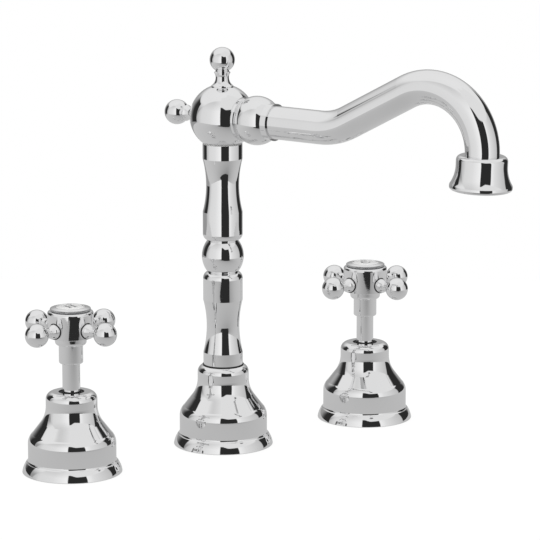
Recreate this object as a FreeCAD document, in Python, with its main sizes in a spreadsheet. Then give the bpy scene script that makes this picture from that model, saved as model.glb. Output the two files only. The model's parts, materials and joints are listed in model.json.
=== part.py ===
"""Basin mixer tap for three deck holes: a swivelling spout on a column, between two cross-handle valves.

Millimetres, +Z up. The origin lies on top of the deck, on the spout's axis. The hot valve stands at -X
and the cold valve at +X. The spout's neutral direction is -Y, and at rest it is turned a little towards +X.
"""
import FreeCAD
import Part
import math
import operator
import os
import types

import Sketcher

SIZES = {
    # Layout and fits
    "valve_offset": 100.0,              # each valve's axis from the spout's axis
    "deck_thickness": 20.0,
    "fit_clearance": 0.05,              # on the radius of pieces that fit together
    "running_clearance": 0.05,          # between pieces that turn on each other
    "spout_rest_turn": 17.0,            # degrees from -Y towards +X
    "hot_rest_turn": 12.3,              # degrees of the hot handle's first arm from +X
    "cold_rest_turn": 5.9,
    # Bell covers of the valves, and the larger one of the spout
    "bell_band_radius": 23.6,
    "bell_rim_overhang": 3.15,
    "bell_lip": 0.3,
    "bell_ovolo_overhang": 0.95,
    "bell_ovolo_rise": 5.4,
    "bell_ovolo_sink": 1.6,             # centre of the ovolo's arc below the deck
    "bell_cove_rise": 1.45,
    "bell_band_height": 8.6,
    "bell_shoulder_inset": 2.3,
    "bell_shoulder_rise": 5.4,
    "bell_cone_rise": 5.8,
    "bell_throat_flare": 3.05,
    "bell_throat_rise": 9.2,
    "bell_neck_radius": 13.8,
    "bell_neck_height": 3.7,
    "bell_crown_inset": 3.4,
    "bell_crown_rise": 4.0,
    "bell_wall": 2.0,
    "bell_crown_wall": 3.0,
    "spout_bell_scale": 1.0226,
    "valve_bell_hole_radius": 6.9,
    # Ring seal in a recess under each bell
    "seal_overhang": 0.6,               # recess radius beyond the band
    "seal_width": 4.0,
    "seal_thickness": 2.2,
    # Fixings of the spout under the deck
    "shank_radius": 8.33,               # G 3/8 thread
    "shank_bore_radius": 5.5,
    "shank_engagement": 10.0,           # into the column's foot
    "shank_drop": 58.0,                 # below the top of the deck
    "rubber_washer_thickness": 3.0,
    "metal_washer_thickness": 1.5,
    "washer_overhang": 8.0,             # washer radius beyond the thread
    "spout_nut_flats": 27.0,
    "spout_nut_height": 9.0,
    # Tee that joins the hot and cold supplies under the spout
    "tee_radius": 11.5,
    "tee_socket_depth": 12.0,
    "tee_axis_drop": 12.0,              # run's axis below the shank's end
    "tee_floor": 9.0,                   # body below the run's axis
    "tee_run_radius": 8.33,             # G 3/8 thread
    "tee_run_length": 56.0,
    "tee_boss_radius": 9.6,
    "tee_boss_length": 28.0,            # between the threads of the run
    "tee_bore_radius": 5.0,
    "tee_turn": 35.0,                   # degrees of the run from the line of the valves
    # Column
    "column_radius": 10.88,
    "column_bore_radius": 5.0,
    "column_foot_height": 7.2,
    "waist_radius": 8.98,
    "waist_half_length": 14.7,
    "lower_barrel_height": 11.95,
    "upper_barrel_height": 12.2,
    "column_top_height": 8.05,
    "groove_radius": 8.4,
    "groove_rise": 3.6,                 # rounded end of a barrel beside a groove
    "knop_radius": 11.45,
    "knop_half_height": 8.78,
    "column_spigot_radius": 6.9,
    "column_spigot_length": 9.0,        # into the upper column
    # Swivel joint
    "swivel_spigot_radius": 6.9,
    "swivel_spigot_length": 17.3,
    "swivel_spigot_bore_radius": 4.3,
    "swivel_socket_depth": 18.0,
    "swivel_washer_thickness": 0.6,
    "swivel_washer_inset": 0.4,
    "ring_section_radius": 0.85,        # rubber rings of the spigot
    "ring_groove_depth": 1.75,
    "ring_groove_height": 2.2,
    "lower_ring_rise": 2.5,             # ring centres above the spigot's end
    "upper_ring_rise": 7.0,
    "stop_drop": 5.6,                   # grub screw's axis below the column's top
    "stop_radius": 2.0,                 # M4 grub screw
    "stop_tip_radius": 1.4,
    "stop_tip_length": 1.25,
    "stop_socket_flats": 2.0,
    "stop_socket_depth": 1.5,
    "stop_sink": 0.35,                  # screw's end below the column's surface
    "stop_slot_depth": 1.6,
    "stop_slot_height": 3.4,
    "swivel_range": 120.0,              # degrees
    "stop_allowance": 19.5,             # degrees of slot past each limit, for the screw's tip
    # Head ball and finials
    "head_radius": 17.75,
    "head_seat_drop": 14.1,             # flat seat below the ball's centre
    "head_finial_flat": 16.4,           # finial seats from the ball's centre
    "head_collar_flat": 13.4,           # collar seat from the ball's centre
    "head_bore_rise": 2.0,              # upright bore's end above the ball's centre
    "finial_stud_radius": 3.0,
    "finial_stud_length": 8.0,
    "finial_foot_radius": 6.0,
    "finial_foot_height": 0.6,
    "finial_neck_radius": 3.6,
    "finial_flare_rise": 4.65,
    "finial_cup_radius": 4.1,
    "finial_cup_rise": 1.9,
    "finial_bead_radius": 4.45,
    "finial_bead_rise": 0.7,
    "finial_groove_radius": 3.5,
    "finial_groove_rise": 1.0,
    "finial_ball_radius": 6.85,
    # Collar between the head and the spout tube
    "collar_spigot_radius": 7.5,
    "collar_spigot_length": 7.0,
    "collar_bore_radius": 6.2,
    "collar_ring_radius": 11.3,
    "collar_ring_width": 1.7,
    "collar_ball_radius": 13.3,
    "collar_ball_start_radius": 10.4,
    "collar_lip_radius": 10.0,
    "collar_lip_width": 3.6,
    "collar_socket_depth": 11.3,
    # Spout tube
    "tube_radius": 9.0,
    "tube_bore_radius": 7.4,
    "tube_run": 40.9,                   # level stretch, from its end in the collar
    "tube_rise_radius": 38.6,
    "tube_rise_angle": 27.7,            # degrees
    "tube_slope_length": 41.7,
    "tube_bend_radius": 31.6,
    "tube_lean": 2.2,                   # degrees past upright at the outlet
    "tube_tail": 6.0,                   # inside the outlet cup
    # Outlet cup and aerator
    "cup_radius": 13.4,
    "cup_crown_inset": 2.6,
    "cup_crown_rise": 2.5,
    "cup_side_height": 2.9,
    "cup_flare": 2.85,
    "cup_flare_rise": 9.8,
    "cup_lip_overhang": 3.0,
    "cup_lip_rise": 1.2,
    "cup_foot_inset": 1.1,
    "cup_foot_rise": 1.5,
    "cup_bore_radius": 7.6,
    "aerator_radius": 11.9,             # M24 thread
    "aerator_recess": 1.2,              # aerator's face above the cup's foot
    "aerator_height": 8.0,
    "aerator_wall": 1.6,
    "aerator_plate": 2.0,
    "aerator_hole_radius": 0.9,
    "aerator_outer_ring": 7.6,
    "aerator_outer_count": 16,
    "aerator_inner_ring": 3.8,
    "aerator_inner_count": 8,
    "aerator_seal_thickness": 1.6,
    "aerator_seal_width": 3.0,
    # Valve body
    "valve_neck_radius": 12.0,          # M24 thread
    "valve_neck_height": 26.0,          # above the deck
    "valve_chamber_radius": 9.9,
    "valve_chamber_drop": 50.0,
    "standpipe_radius": 6.3,
    "standpipe_bore_radius": 4.5,
    "standpipe_height": 9.0,            # above the deck
    "valve_flange_radius": 19.0,
    "valve_flange_height": 5.0,
    "valve_body_radius": 14.0,
    "valve_body_length": 36.0,
    "inlet_radius": 10.48,              # G 1/2 thread
    "inlet_length": 18.0,
    "outlet_port_radius": 8.33,         # G 3/8 thread
    "outlet_thread_length": 12.0,
    "outlet_boss_radius": 9.6,
    "outlet_boss_reach": 17.0,
    "outlet_port_bore_radius": 4.6,
    "outlet_port_drop": 44.0,
    "outlet_turn": 45.0,                # degrees from the line of the valves towards the back
    "locknut_flats": 32.0,
    "locknut_height": 8.0,
    "valve_washer_overhang": 6.0,
    # Headwork with ceramic discs
    "bonnet_skirt_radius": 8.9,
    "bonnet_cavity_radius": 7.9,
    "bonnet_thread_height": 6.0,
    "bonnet_thread_clearance": 0.05,
    "bonnet_flange_radius": 12.0,
    "bonnet_flange_height": 3.0,
    "bonnet_top_gap": 0.3,              # under the bell's crown
    "bonnet_window_radius": 1.2,
    "lip_seal_thickness": 2.0,
    "lip_seal_overhang": 0.9,
    "disc_thickness": 3.2,
    "disc_relief": 0.1,                 # moving disc smaller than the fixed one
    "disc_port_radius": 1.6,
    "disc_port_offset": 2.7,
    "spindle_driver_radius": 6.5,
    "spindle_driver_height": 3.3,
    "spindle_radius": 4.0,
    "spindle_shoulder_gap": 0.6,        # above the bonnet
    "spindle_end_radius": 3.3,
    "spindle_end_length": 19.7,
    "spindle_ring_section": 0.5,
    "spindle_ring_drop": 6.5,           # below the bonnet's top
    "spindle_groove_height": 1.3,
    "spindle_groove_depth": 1.05,
    # Handle
    "stem_radius": 4.76,
    "stem_exposed": 15.6,               # between the bell's crown and the sleeve
    "sleeve_radius": 6.47,
    "sleeve_height": 9.9,
    "sleeve_edge": 0.9,
    "sleeve_socket_depth": 8.0,
    "sleeve_round_inset": 1.7,
    "sleeve_round_rise": 1.9,
    "sleeve_collar_radius": 8.45,
    "sleeve_collar_height": 2.5,
    "hub_radius": 12.3,
    "hub_height": 14.2,
    "hub_edge": 0.3,
    "hub_round": 1.5,
    "hub_floor": 6.0,                   # under the screw's head
    "hub_counterbore_radius": 4.3,
    "hub_counterbore_depth": 4.0,
    "arm_rise": 4.65,                   # arm's axis above the hub's foot
    "arm_count": 4,
    "arm_root_radius": 3.95,
    "arm_root_depth": 2.7,              # into the hub
    "arm_root_collar": 0.35,            # outside the hub
    "arm_dome_length": 1.5,
    "arm_dome_end_radius": 3.45,
    "arm_flare_length": 3.4,
    "arm_waist_radius": 2.65,
    "arm_ball_radius": 6.3,
    "arm_ball_offset": 25.3,            # ball's centre from the handle's axis
    "screw_radius": 2.0,                # M4 screw
    "screw_passage_radius": 2.3,
    "screw_head_radius": 3.8,
    "screw_head_height": 2.6,
    "screw_slot_width": 1.0,
    "screw_slot_depth": 1.2,
    "screw_engagement": 8.0,            # into the spindle
    "screw_hole_spare": 3.0,
    "bezel_radius": 10.6,
    "bezel_groove_height": 0.45,        # shadow gap over the hub
    "bezel_groove_depth": 0.8,
    "bezel_edge_height": 1.45,
    "bezel_bevel_rise": 0.55,
    "bezel_rim_width": 0.6,
    "bezel_spigot_radius": 8.4,
    "bezel_spigot_length": 2.7,
    "bezel_bore_radius": 5.5,
    "bezel_floor": 0.4,                 # disc's seat above the hub's top
    "index_radius": 7.7,
    "index_edge_height": 1.3,
    "index_dome": 0.5,
}

FIRST = "centre level with the arc's first corner"
LAST = "centre level with the arc's last corner"
AXIS = "centre on the turning axis"

OPERATIONS = {"+": operator.add, "-": operator.sub, "*": operator.mul, "/": operator.truediv}


class Size:
    """A number together with the sheet expression that gives it."""

    def __init__(self, value, text):
        self.value = value
        self.text = text

    def __add__(self, other):
        return combine(self, "+", other)

    def __radd__(self, other):
        return combine(other, "+", self)

    def __sub__(self, other):
        return combine(self, "-", other)

    def __rsub__(self, other):
        return combine(other, "-", self)

    def __mul__(self, other):
        return combine(self, "*", other)

    def __rmul__(self, other):
        return combine(other, "*", self)

    def __truediv__(self, other):
        return combine(self, "/", other)

    def __neg__(self):
        return combine(0, "-", self)


def as_size(item):
    """Turn a plain number into a Size."""
    return item if isinstance(item, Size) else Size(float(item), str(item))


def combine(left, sign, right):
    """Join two sizes with one of the four operations."""
    left = as_size(left)
    right = as_size(right)
    return Size(OPERATIONS[sign](left.value, right.value), f"({left.text} {sign} {right.text})")


def square_root(item):
    return Size(math.sqrt(item.value), f"sqrt({item.text})")


def sine(angle):
    return Size(math.sin(math.radians(angle.value)), f"sin({angle.text})")


def cosine(angle):
    return Size(math.cos(math.radians(angle.value)), f"cos({angle.text})")


def ball_section(radius, distance):
    """Radius of a ball's circle at a distance from its centre, or the distance of a circle of that size."""
    return square_root(radius * radius - distance * distance)


document = FreeCAD.newDocument("BasinMixer")
sheet = document.addObject("Spreadsheet::Sheet", "Sizes")
for row, (alias, number) in enumerate(SIZES.items(), start=1):
    sheet.set(f"A{row}", alias)
    sheet.set(f"B{row}", str(number))
    sheet.setAlias(f"B{row}", alias)
document.recompute()

size = types.SimpleNamespace(**{alias: Size(number, f"Sizes.{alias}") for alias, number in SIZES.items()})
pieces = []

# Levels that several pieces share

lip_top = size.bell_lip
ovolo_top = lip_top + size.bell_ovolo_rise
band_foot = ovolo_top + size.bell_cove_rise
band_top = band_foot + size.bell_band_height
cone_foot = band_top + size.bell_shoulder_rise
throat_foot = cone_foot + size.bell_cone_rise
neck_foot = throat_foot + size.bell_throat_rise
neck_top = neck_foot + size.bell_neck_height
bell_top = neck_top + size.bell_crown_rise
crown_under = bell_top - size.bell_crown_wall
bell_inner_neck = size.bell_neck_radius - size.bell_wall
seal_recess = size.bell_band_radius + size.seal_overhang

spout_bell_top = bell_top * size.spout_bell_scale
foot_top = spout_bell_top + size.column_foot_height
lower_waist = foot_top + size.waist_half_length
lower_barrel = lower_waist + size.waist_half_length
lower_barrel_top = lower_barrel + size.lower_barrel_height
knop_foot = lower_barrel_top + size.groove_rise
knop_middle = knop_foot + size.knop_half_height
knop_top = knop_middle + size.knop_half_height
upper_barrel = knop_top + size.groove_rise
upper_barrel_top = upper_barrel + size.upper_barrel_height
upper_waist = upper_barrel_top + size.waist_half_length
column_top_foot = upper_waist + size.waist_half_length
column_top = column_top_foot + size.column_top_height
head_height = column_top + size.swivel_washer_thickness + size.running_clearance + size.head_seat_drop
swivel_end = size.head_seat_drop + size.swivel_spigot_length

tube_start = size.head_collar_flat + size.collar_ring_width + ball_section(
    size.collar_ball_radius, size.collar_ball_start_radius) + ball_section(
    size.collar_ball_radius, size.collar_lip_radius) + size.collar_lip_width - size.collar_socket_depth
cup_side_foot = size.cup_foot_rise + size.cup_lip_rise + size.cup_flare_rise
cup_crown_foot = cup_side_foot + size.cup_side_height
cup_height = cup_crown_foot + size.cup_crown_rise

under_deck = -size.deck_thickness
washer_foot = under_deck - size.rubber_washer_thickness
spout_turn = size.spout_rest_turn - 90

bonnet_top = crown_under - size.bonnet_top_gap
seal_top = size.standpipe_height + size.lip_seal_thickness
fixed_disc_top = seal_top + size.disc_thickness
moving_disc_foot = fixed_disc_top + size.running_clearance
moving_disc_top = moving_disc_foot + size.disc_thickness
driver_top = moving_disc_top + size.spindle_driver_height
cavity_top = driver_top + size.running_clearance
spindle_shoulder = bonnet_top + size.spindle_shoulder_gap
spindle_top = spindle_shoulder + size.spindle_end_length
sleeve_foot = bell_top + size.stem_exposed
sleeve_top = sleeve_foot + size.sleeve_height
stem_top = sleeve_foot + size.sleeve_socket_depth
hub_foot = sleeve_top + size.sleeve_round_rise + size.sleeve_collar_height
hub_top = hub_foot + size.hub_height
screw_seat = hub_foot + size.hub_floor
bezel_recess = screw_seat + size.hub_counterbore_depth
index_seat = hub_top + size.bezel_floor


# Drawing

def origin_plane(body, role):
    """One of a body's own origin planes or axes."""
    return next(feature for feature in body.Origin.OriginFeatures if feature.Role == role)


def new_sketch(body, role, name, offset=None):
    """A sketch on a body's origin plane, or that far in front of it."""
    sketch = body.newObject("Sketcher::SketchObject", name)
    sketch.AttachmentSupport = [(origin_plane(body, role), "")]
    sketch.MapMode = "FlatFace"
    if offset is not None:
        sketch.setExpression("AttachmentOffset.Base.z", offset.text)
    return sketch


def bind(sketch, constraint, item):
    """Add a constraint and bind its value to the sheet."""
    index = sketch.addConstraint(constraint)
    if "Sizes." in item.text:
        sketch.setExpression(f"Constraints[{index}]", item.text)


def fix_point(sketch, geometry, end, across, along):
    """Fix a point of a sketch at a distance across and along from its origin."""
    if across.value == 0:
        sketch.addConstraint(Sketcher.Constraint("PointOnObject", geometry, end, -2))
    else:
        bind(sketch, Sketcher.Constraint("DistanceX", -1, 1, geometry, end, across.value), across)
    if along.value == 0:
        sketch.addConstraint(Sketcher.Constraint("PointOnObject", geometry, end, -1))
    else:
        bind(sketch, Sketcher.Constraint("DistanceY", -1, 1, geometry, end, along.value), along)


def arc_centre(first, last, rule):
    """Centre of an arc between two (radius, height) corners, by a rule or at a given height."""
    if isinstance(rule, Size):
        drops = (last[1] - rule.value) ** 2 - (first[1] - rule.value) ** 2
        return (last[0] ** 2 - first[0] ** 2 + drops) / (2 * (last[0] - first[0])), rule.value
    if rule == AXIS:
        height = (first[0] ** 2 + first[1] ** 2 - last[0] ** 2 - last[1] ** 2) / (2 * (first[1] - last[1]))
        return 0.0, height
    pinned, other = (first, last) if rule == FIRST else (last, first)
    across = other[0] - pinned[0]
    rise = other[1] - pinned[1]
    return pinned[0] + (across ** 2 + rise ** 2) / (2 * across), pinned[1]


def draw_outline(sketch, corners, lying):
    """Draw a closed outline of (radius, height) corners.

    The edge that arrives at a corner is a line, or an arc where a third entry gives the rule for its centre
    or the centre's height.
    A lying outline has its turning axis along the sketch's first axis, an upright one along the second.
    """
    corners = [(as_size(corner[0]), as_size(corner[1]), *corner[2:]) for corner in corners]
    edges = []
    for index, corner in enumerate(corners):
        previous = corners[index - 1]
        first = (previous[0].value, previous[1].value)
        last = (corner[0].value, corner[1].value)
        start, stop = (FreeCAD.Vector(*(point[::-1] if lying else point), 0) for point in (first, last))
        if len(corner) == 2:
            edges.append((sketch.addGeometry(Part.LineSegment(start, stop), False), 1, 2))
            continue
        middle = arc_centre(first, last, corner[2])
        middle = FreeCAD.Vector(*(middle[::-1] if lying else middle), 0)
        circle = Part.Circle(middle, FreeCAD.Vector(0, 0, 1), (start - middle).Length)
        ends = (1, 2) if (start - middle).cross(stop - middle).z > 0 else (2, 1)
        angles = [math.atan2(point.y - middle.y, point.x - middle.x) for point in (start, stop)]
        arc = Part.ArcOfCircle(circle, angles[ends[0] - 1], angles[ends[1] - 1])
        edges.append((sketch.addGeometry(arc, False), *ends))
    for index, (geometry, first_end, last_end) in enumerate(edges):
        corner = corners[index]
        following, next_end, _ = edges[(index + 1) % len(edges)]
        sketch.addConstraint(Sketcher.Constraint("Coincident", geometry, last_end, following, next_end))
        across, along = (corner[1], corner[0]) if lying else (corner[0], corner[1])
        fix_point(sketch, geometry, last_end, across, along)
        if len(corner) == 2:
            continue
        if isinstance(corner[2], Size):
            direction = "DistanceX" if lying else "DistanceY"
            bind(sketch, Sketcher.Constraint(direction, -1, 1, geometry, 3, corner[2].value), corner[2])
        elif corner[2] == AXIS:
            sketch.addConstraint(Sketcher.Constraint("PointOnObject", geometry, 3, -1 if lying else -2))
        else:
            pinned_end = first_end if corner[2] == FIRST else last_end
            direction = "Vertical" if lying else "Horizontal"
            sketch.addConstraint(Sketcher.Constraint(direction, geometry, 3, geometry, pinned_end))


def turned(name, corners, lying=False):
    """A body turned on a lathe, about Z or, lying, about X."""
    body = document.addObject("PartDesign::Body", name)
    sketch = new_sketch(body, "XZ_Plane", f"{name}_outline")
    draw_outline(sketch, corners, lying)
    turn = body.newObject("PartDesign::Revolution", f"{name}_turn")
    turn.Profile = sketch
    turn.ReferenceAxis = (sketch, ["H_Axis" if lying else "V_Axis"])
    turn.Angle = 360
    return body


def ring(name, inner, outer, foot, top):
    """A plain ring about Z."""
    return turned(name, [(inner, foot), (outer, foot), (outer, top), (inner, top)])


def cylinder(name, radius, length, x=0, y=0, z=0, turn=0, tilt=0):
    """A cylinder that starts at a point, along Z unless it is tilted."""
    rod = document.addObject("Part::Cylinder", name)
    rod.setExpression("Radius", as_size(radius).text)
    rod.setExpression("Height", as_size(length).text)
    place(rod, x, y, z, turn, tilt)
    return rod


def joined(kind, name, base, tool):
    """A Part::Fuse or Part::Cut of two objects."""
    result = document.addObject(kind, name)
    result.Base = base
    result.Tool = tool
    return result


def drilled(name, blank, tools):
    """A blank with tools cut from it, one after another."""
    for index, tool in enumerate(tools, start=1):
        step = name if index == len(tools) else f"{name}_step{index}"
        blank = joined("Part::Cut", step, blank, tool)
    return blank


def pocket_circles(body, name, role, offset, depth, radius, places):
    """Cut round pockets at (across, along) places, onwards from a plane in front of an origin plane."""
    sketch = new_sketch(body, role, f"{name}_places", offset)
    for across, along in places:
        across = as_size(across)
        along = as_size(along)
        middle = FreeCAD.Vector(across.value, along.value, 0)
        geometry = sketch.addGeometry(Part.Circle(middle, FreeCAD.Vector(0, 0, 1), radius.value), False)
        fix_point(sketch, geometry, 3, across, along)
        bind(sketch, Sketcher.Constraint("Radius", geometry, radius.value), radius)
    pocket = body.newObject("PartDesign::Pocket", name)
    pocket.Profile = sketch
    pocket.Reversed = True
    pocket.setExpression("Length", depth.text)
    return pocket


def polar_pattern(body, feature, name, count):
    """Repeat a feature evenly about the body's Z axis."""
    pattern = body.newObject("PartDesign::PolarPattern", name)
    pattern.Originals = [feature]
    pattern.Axis = (origin_plane(body, "Z_Axis"), [""])
    pattern.Angle = 360
    pattern.setExpression("Occurrences", count.text)
    body.Tip = pattern


def place(item, x=0, y=0, z=0, turn=0, tilt=0):
    """Bind a placement: a tilt about Y, then a turn about Z, both in degrees, then a shift."""
    x, y, z, turn, tilt = (as_size(value).text for value in (x, y, z, turn, tilt))
    rotation = f"rotationz({turn}) * rotationy({tilt})"
    item.setExpression("Placement", f"placement(vector({x}; {y}; {z}); {rotation})")


def keep(item, x=0, y=0, z=0, turn=0, tilt=0):
    """Place a finished piece and note it for writing."""
    place(item, x, y, z, turn, tilt)
    pieces.append(item)


# Pieces that the spout and the valves share

def bell(name, hole_radius, scale=1):
    """Bell cover: flared rim, band, curved shoulder, neck and rounded crown, hollow underneath."""
    band = size.bell_band_radius
    rim = band + size.bell_rim_overhang
    corners = [
        (seal_recess, 0),
        (rim - size.bell_lip, 0),
        (rim, lip_top, LAST),
        (band + size.bell_ovolo_overhang, ovolo_top, -size.bell_ovolo_sink),
        (band, band_foot, LAST),
        (band, band_top),
        (band - size.bell_shoulder_inset, cone_foot, FIRST),
        (size.bell_neck_radius + size.bell_throat_flare, throat_foot),
        (size.bell_neck_radius, neck_foot, LAST),
        (size.bell_neck_radius, neck_top),
        (size.bell_neck_radius - size.bell_crown_inset, bell_top, FIRST),
        (hole_radius / scale, bell_top),
        (hole_radius / scale, crown_under),
        (bell_inner_neck, crown_under),
        (bell_inner_neck, throat_foot + size.bell_wall),
        (band - size.bell_wall, band_top + size.bell_wall),
        (band - size.bell_wall, size.seal_thickness),
        (seal_recess, size.seal_thickness),
    ]
    return turned(name, [
        [item * scale if isinstance(item, Size) else item for item in corner] for corner in corners
    ])


def base_seal(name, scale=1):
    """Rubber ring between the bell and the deck."""
    outer = seal_recess * scale - size.fit_clearance
    return ring(name, outer - size.seal_width, outer, 0, size.seal_thickness * scale)


def hexagon_nut(name, flats, height, thread_radius, foot):
    """Hexagon nut on an upright thread."""
    blank = document.addObject("Part::Prism", f"{name}_blank")
    blank.Polygon = 6
    blank.setExpression("Circumradius", (flats / square_root(as_size(3))).text)
    blank.setExpression("Height", height.text)
    place(blank, z=foot)
    thread = cylinder(f"{name}_thread", thread_radius + size.fit_clearance, height, z=foot)
    return joined("Part::Cut", name, blank, thread)


# Spout: fixed pieces

def spout_fixings():
    """Bell, seal, threaded shank, washers, backnut and supply tee."""
    thread = size.shank_radius + size.fit_clearance
    washer_outer = size.shank_radius + size.washer_overhang
    metal_foot = washer_foot - size.metal_washer_thickness
    shank_end = -size.shank_drop
    shank_top = spout_bell_top + size.shank_engagement
    keep(bell("spout_bell", thread, size.spout_bell_scale))
    keep(base_seal("spout_base_seal", size.spout_bell_scale))
    keep(ring("spout_shank", size.shank_bore_radius, size.shank_radius, shank_end, shank_top))
    keep(ring("spout_rubber_washer", thread, washer_outer, washer_foot, under_deck))
    keep(ring("spout_metal_washer", thread, washer_outer, metal_foot, washer_foot))
    keep(hexagon_nut("spout_backnut", size.spout_nut_flats, size.spout_nut_height, size.shank_radius,
                     metal_foot - size.spout_nut_height))
    keep(mixing_tee(thread, shank_end), turn=size.tee_turn)


def mixing_tee(thread, shank_end):
    """Tee on the shank's end, whose level run takes the hot and cold supplies."""
    run_axis = shank_end - size.tee_axis_drop
    foot = run_axis - size.tee_floor
    socket_top = shank_end + size.tee_socket_depth
    blank = turned("mixing_tee_blank", [
        (0, foot),
        (size.tee_radius, foot),
        (size.tee_radius, socket_top),
        (thread, socket_top),
        (thread, shank_end),
        (0, shank_end),
    ])
    length = size.tee_run_length
    start = -length / 2
    run = cylinder("mixing_tee_run", size.tee_run_radius, length, x=start, z=run_axis, tilt=90)
    boss_length = size.tee_boss_length
    boss = cylinder("mixing_tee_boss", size.tee_boss_radius, boss_length,
                    x=-boss_length / 2, z=run_axis, tilt=90)
    run_bore = cylinder("mixing_tee_run_bore", size.tee_bore_radius, length, x=start, z=run_axis, tilt=90)
    drop_bore = cylinder("mixing_tee_drop_bore", size.tee_bore_radius, size.tee_axis_drop, z=run_axis)
    stub = joined("Part::Fuse", "mixing_tee_stub", blank, boss)
    cross = joined("Part::Fuse", "mixing_tee_cross", stub, run)
    return drilled("mixing_tee", cross, [run_bore, drop_bore])


def column():
    """Column of three turned pieces, held together by the lower piece's spigot."""
    spigot_top = knop_top + size.column_spigot_length
    spigot_hole = size.column_spigot_radius + size.fit_clearance
    shank_socket = size.shank_radius + size.fit_clearance
    shank_top = spout_bell_top + size.shank_engagement
    keep(turned("column_lower", [
        (shank_socket, spout_bell_top),
        (size.column_radius, spout_bell_top),
        (size.column_radius, foot_top),
        (size.waist_radius, lower_waist, LAST),
        (size.column_radius, lower_barrel, FIRST),
        (size.column_radius, lower_barrel_top),
        (size.groove_radius, knop_foot, FIRST),
        (size.column_spigot_radius, knop_foot),
        (size.column_spigot_radius, spigot_top),
        (size.column_bore_radius, spigot_top),
        (size.column_bore_radius, shank_top),
        (shank_socket, shank_top),
    ]))
    keep(turned("column_knop", [
        (spigot_hole, knop_foot),
        (size.groove_radius, knop_foot),
        (size.knop_radius, knop_middle, LAST),
        (size.groove_radius, knop_top, FIRST),
        (spigot_hole, knop_top),
    ]))
    swivel_socket = size.swivel_spigot_radius + size.running_clearance
    blank = turned("column_upper_blank", [
        (spigot_hole, knop_top),
        (size.groove_radius, knop_top),
        (size.column_radius, upper_barrel, LAST),
        (size.column_radius, upper_barrel_top),
        (size.waist_radius, upper_waist, LAST),
        (size.column_radius, column_top_foot, FIRST),
        (size.column_radius, column_top),
        (swivel_socket, column_top),
        (swivel_socket, column_top - size.swivel_socket_depth),
        (size.column_bore_radius, column_top - size.swivel_socket_depth),
        (size.column_bore_radius, spigot_top),
        (spigot_hole, spigot_top),
    ])
    stop_height = column_top - size.stop_drop
    stop_hole = cylinder("column_upper_stop_hole", size.stop_radius + size.fit_clearance, size.column_radius,
                         z=stop_height, turn=90, tilt=90)
    keep(joined("Part::Cut", "column_upper", blank, stop_hole))
    keep(ring("swivel_washer", swivel_socket, size.column_radius - size.swivel_washer_inset, column_top,
              column_top + size.swivel_washer_thickness))
    keep(grub_screw(swivel_socket), z=stop_height, turn=90)


def grub_screw(socket_radius):
    """Screw in the back of the column, whose tip runs in the spigot's slot and limits the swivel."""
    tip_foot = socket_radius - size.stop_tip_length
    head_end = size.column_radius - size.stop_sink
    blank = turned("spout_grub_screw_blank", [
        (0, tip_foot),
        (size.stop_tip_radius, tip_foot),
        (size.stop_tip_radius, socket_radius + size.fit_clearance),
        (size.stop_radius, socket_radius + size.fit_clearance),
        (size.stop_radius, head_end),
        (0, head_end),
    ], lying=True)
    key = document.addObject("Part::Prism", "spout_grub_screw_key")
    key.Polygon = 6
    key.setExpression("Circumradius", (size.stop_socket_flats / square_root(as_size(3))).text)
    key.setExpression("Height", (size.stop_socket_depth + size.stop_radius).text)
    place(key, x=head_end - size.stop_socket_depth, tilt=90)
    return joined("Part::Cut", "spout_grub_screw", blank, key)


# Spout: pieces that swivel

def head_ball():
    """Drilled ball with a spigot below, and flat seats for the collar and the finials."""
    spigot = size.swivel_spigot_radius
    groove = spigot - size.ring_groove_depth
    half_groove = size.ring_groove_height / 2
    lower_ring = -swivel_end + size.lower_ring_rise
    upper_ring = -swivel_end + size.upper_ring_rise
    stud_hole = size.finial_stud_radius + size.fit_clearance
    stud_depth = size.head_finial_flat - size.finial_stud_length - size.fit_clearance
    blank = turned("head_ball_blank", [
        (size.swivel_spigot_bore_radius, -swivel_end),
        (spigot, -swivel_end),
        (spigot, lower_ring - half_groove),
        (groove, lower_ring - half_groove),
        (groove, lower_ring + half_groove),
        (spigot, lower_ring + half_groove),
        (spigot, upper_ring - half_groove),
        (groove, upper_ring - half_groove),
        (groove, upper_ring + half_groove),
        (spigot, upper_ring + half_groove),
        (spigot, -size.head_seat_drop),
        (ball_section(size.head_radius, size.head_seat_drop), -size.head_seat_drop),
        (ball_section(size.head_radius, size.head_finial_flat), size.head_finial_flat, AXIS),
        (stud_hole, size.head_finial_flat),
        (stud_hole, stud_depth),
        (0, stud_depth),
        (0, size.head_bore_rise),
        (size.swivel_spigot_bore_radius, size.head_bore_rise),
    ])
    collar_hole = size.collar_spigot_radius + size.fit_clearance
    reach = size.head_radius
    return drilled("head_ball", blank, [
        cylinder("head_ball_front_flat", reach, reach, x=size.head_collar_flat, tilt=90),
        cylinder("head_ball_front_bore", collar_hole, reach, tilt=90),
        cylinder("head_ball_rear_flat", reach, reach, x=-size.head_finial_flat, tilt=-90),
        cylinder("head_ball_rear_hole", stud_hole, reach, x=-stud_depth, tilt=-90),
        stop_slot(),
    ])


def stop_slot():
    """Part of a ring, centred on the back of the neutral spout, in which the grub screw's tip travels."""
    height = size.stop_slot_height
    foot = column_top - size.stop_drop - head_height - height / 2
    sweep = size.swivel_range + 2 * size.stop_allowance
    start_turn = 180 - sweep / 2
    sector = cylinder("stop_slot_sector", 2 * size.swivel_spigot_radius, height, z=foot, turn=start_turn)
    sector.setExpression("Angle", sweep.text)
    core_radius = size.swivel_spigot_radius - size.stop_slot_depth
    core = cylinder("stop_slot_core", core_radius, height, z=foot)
    return joined("Part::Cut", "stop_slot", sector, core)


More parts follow.
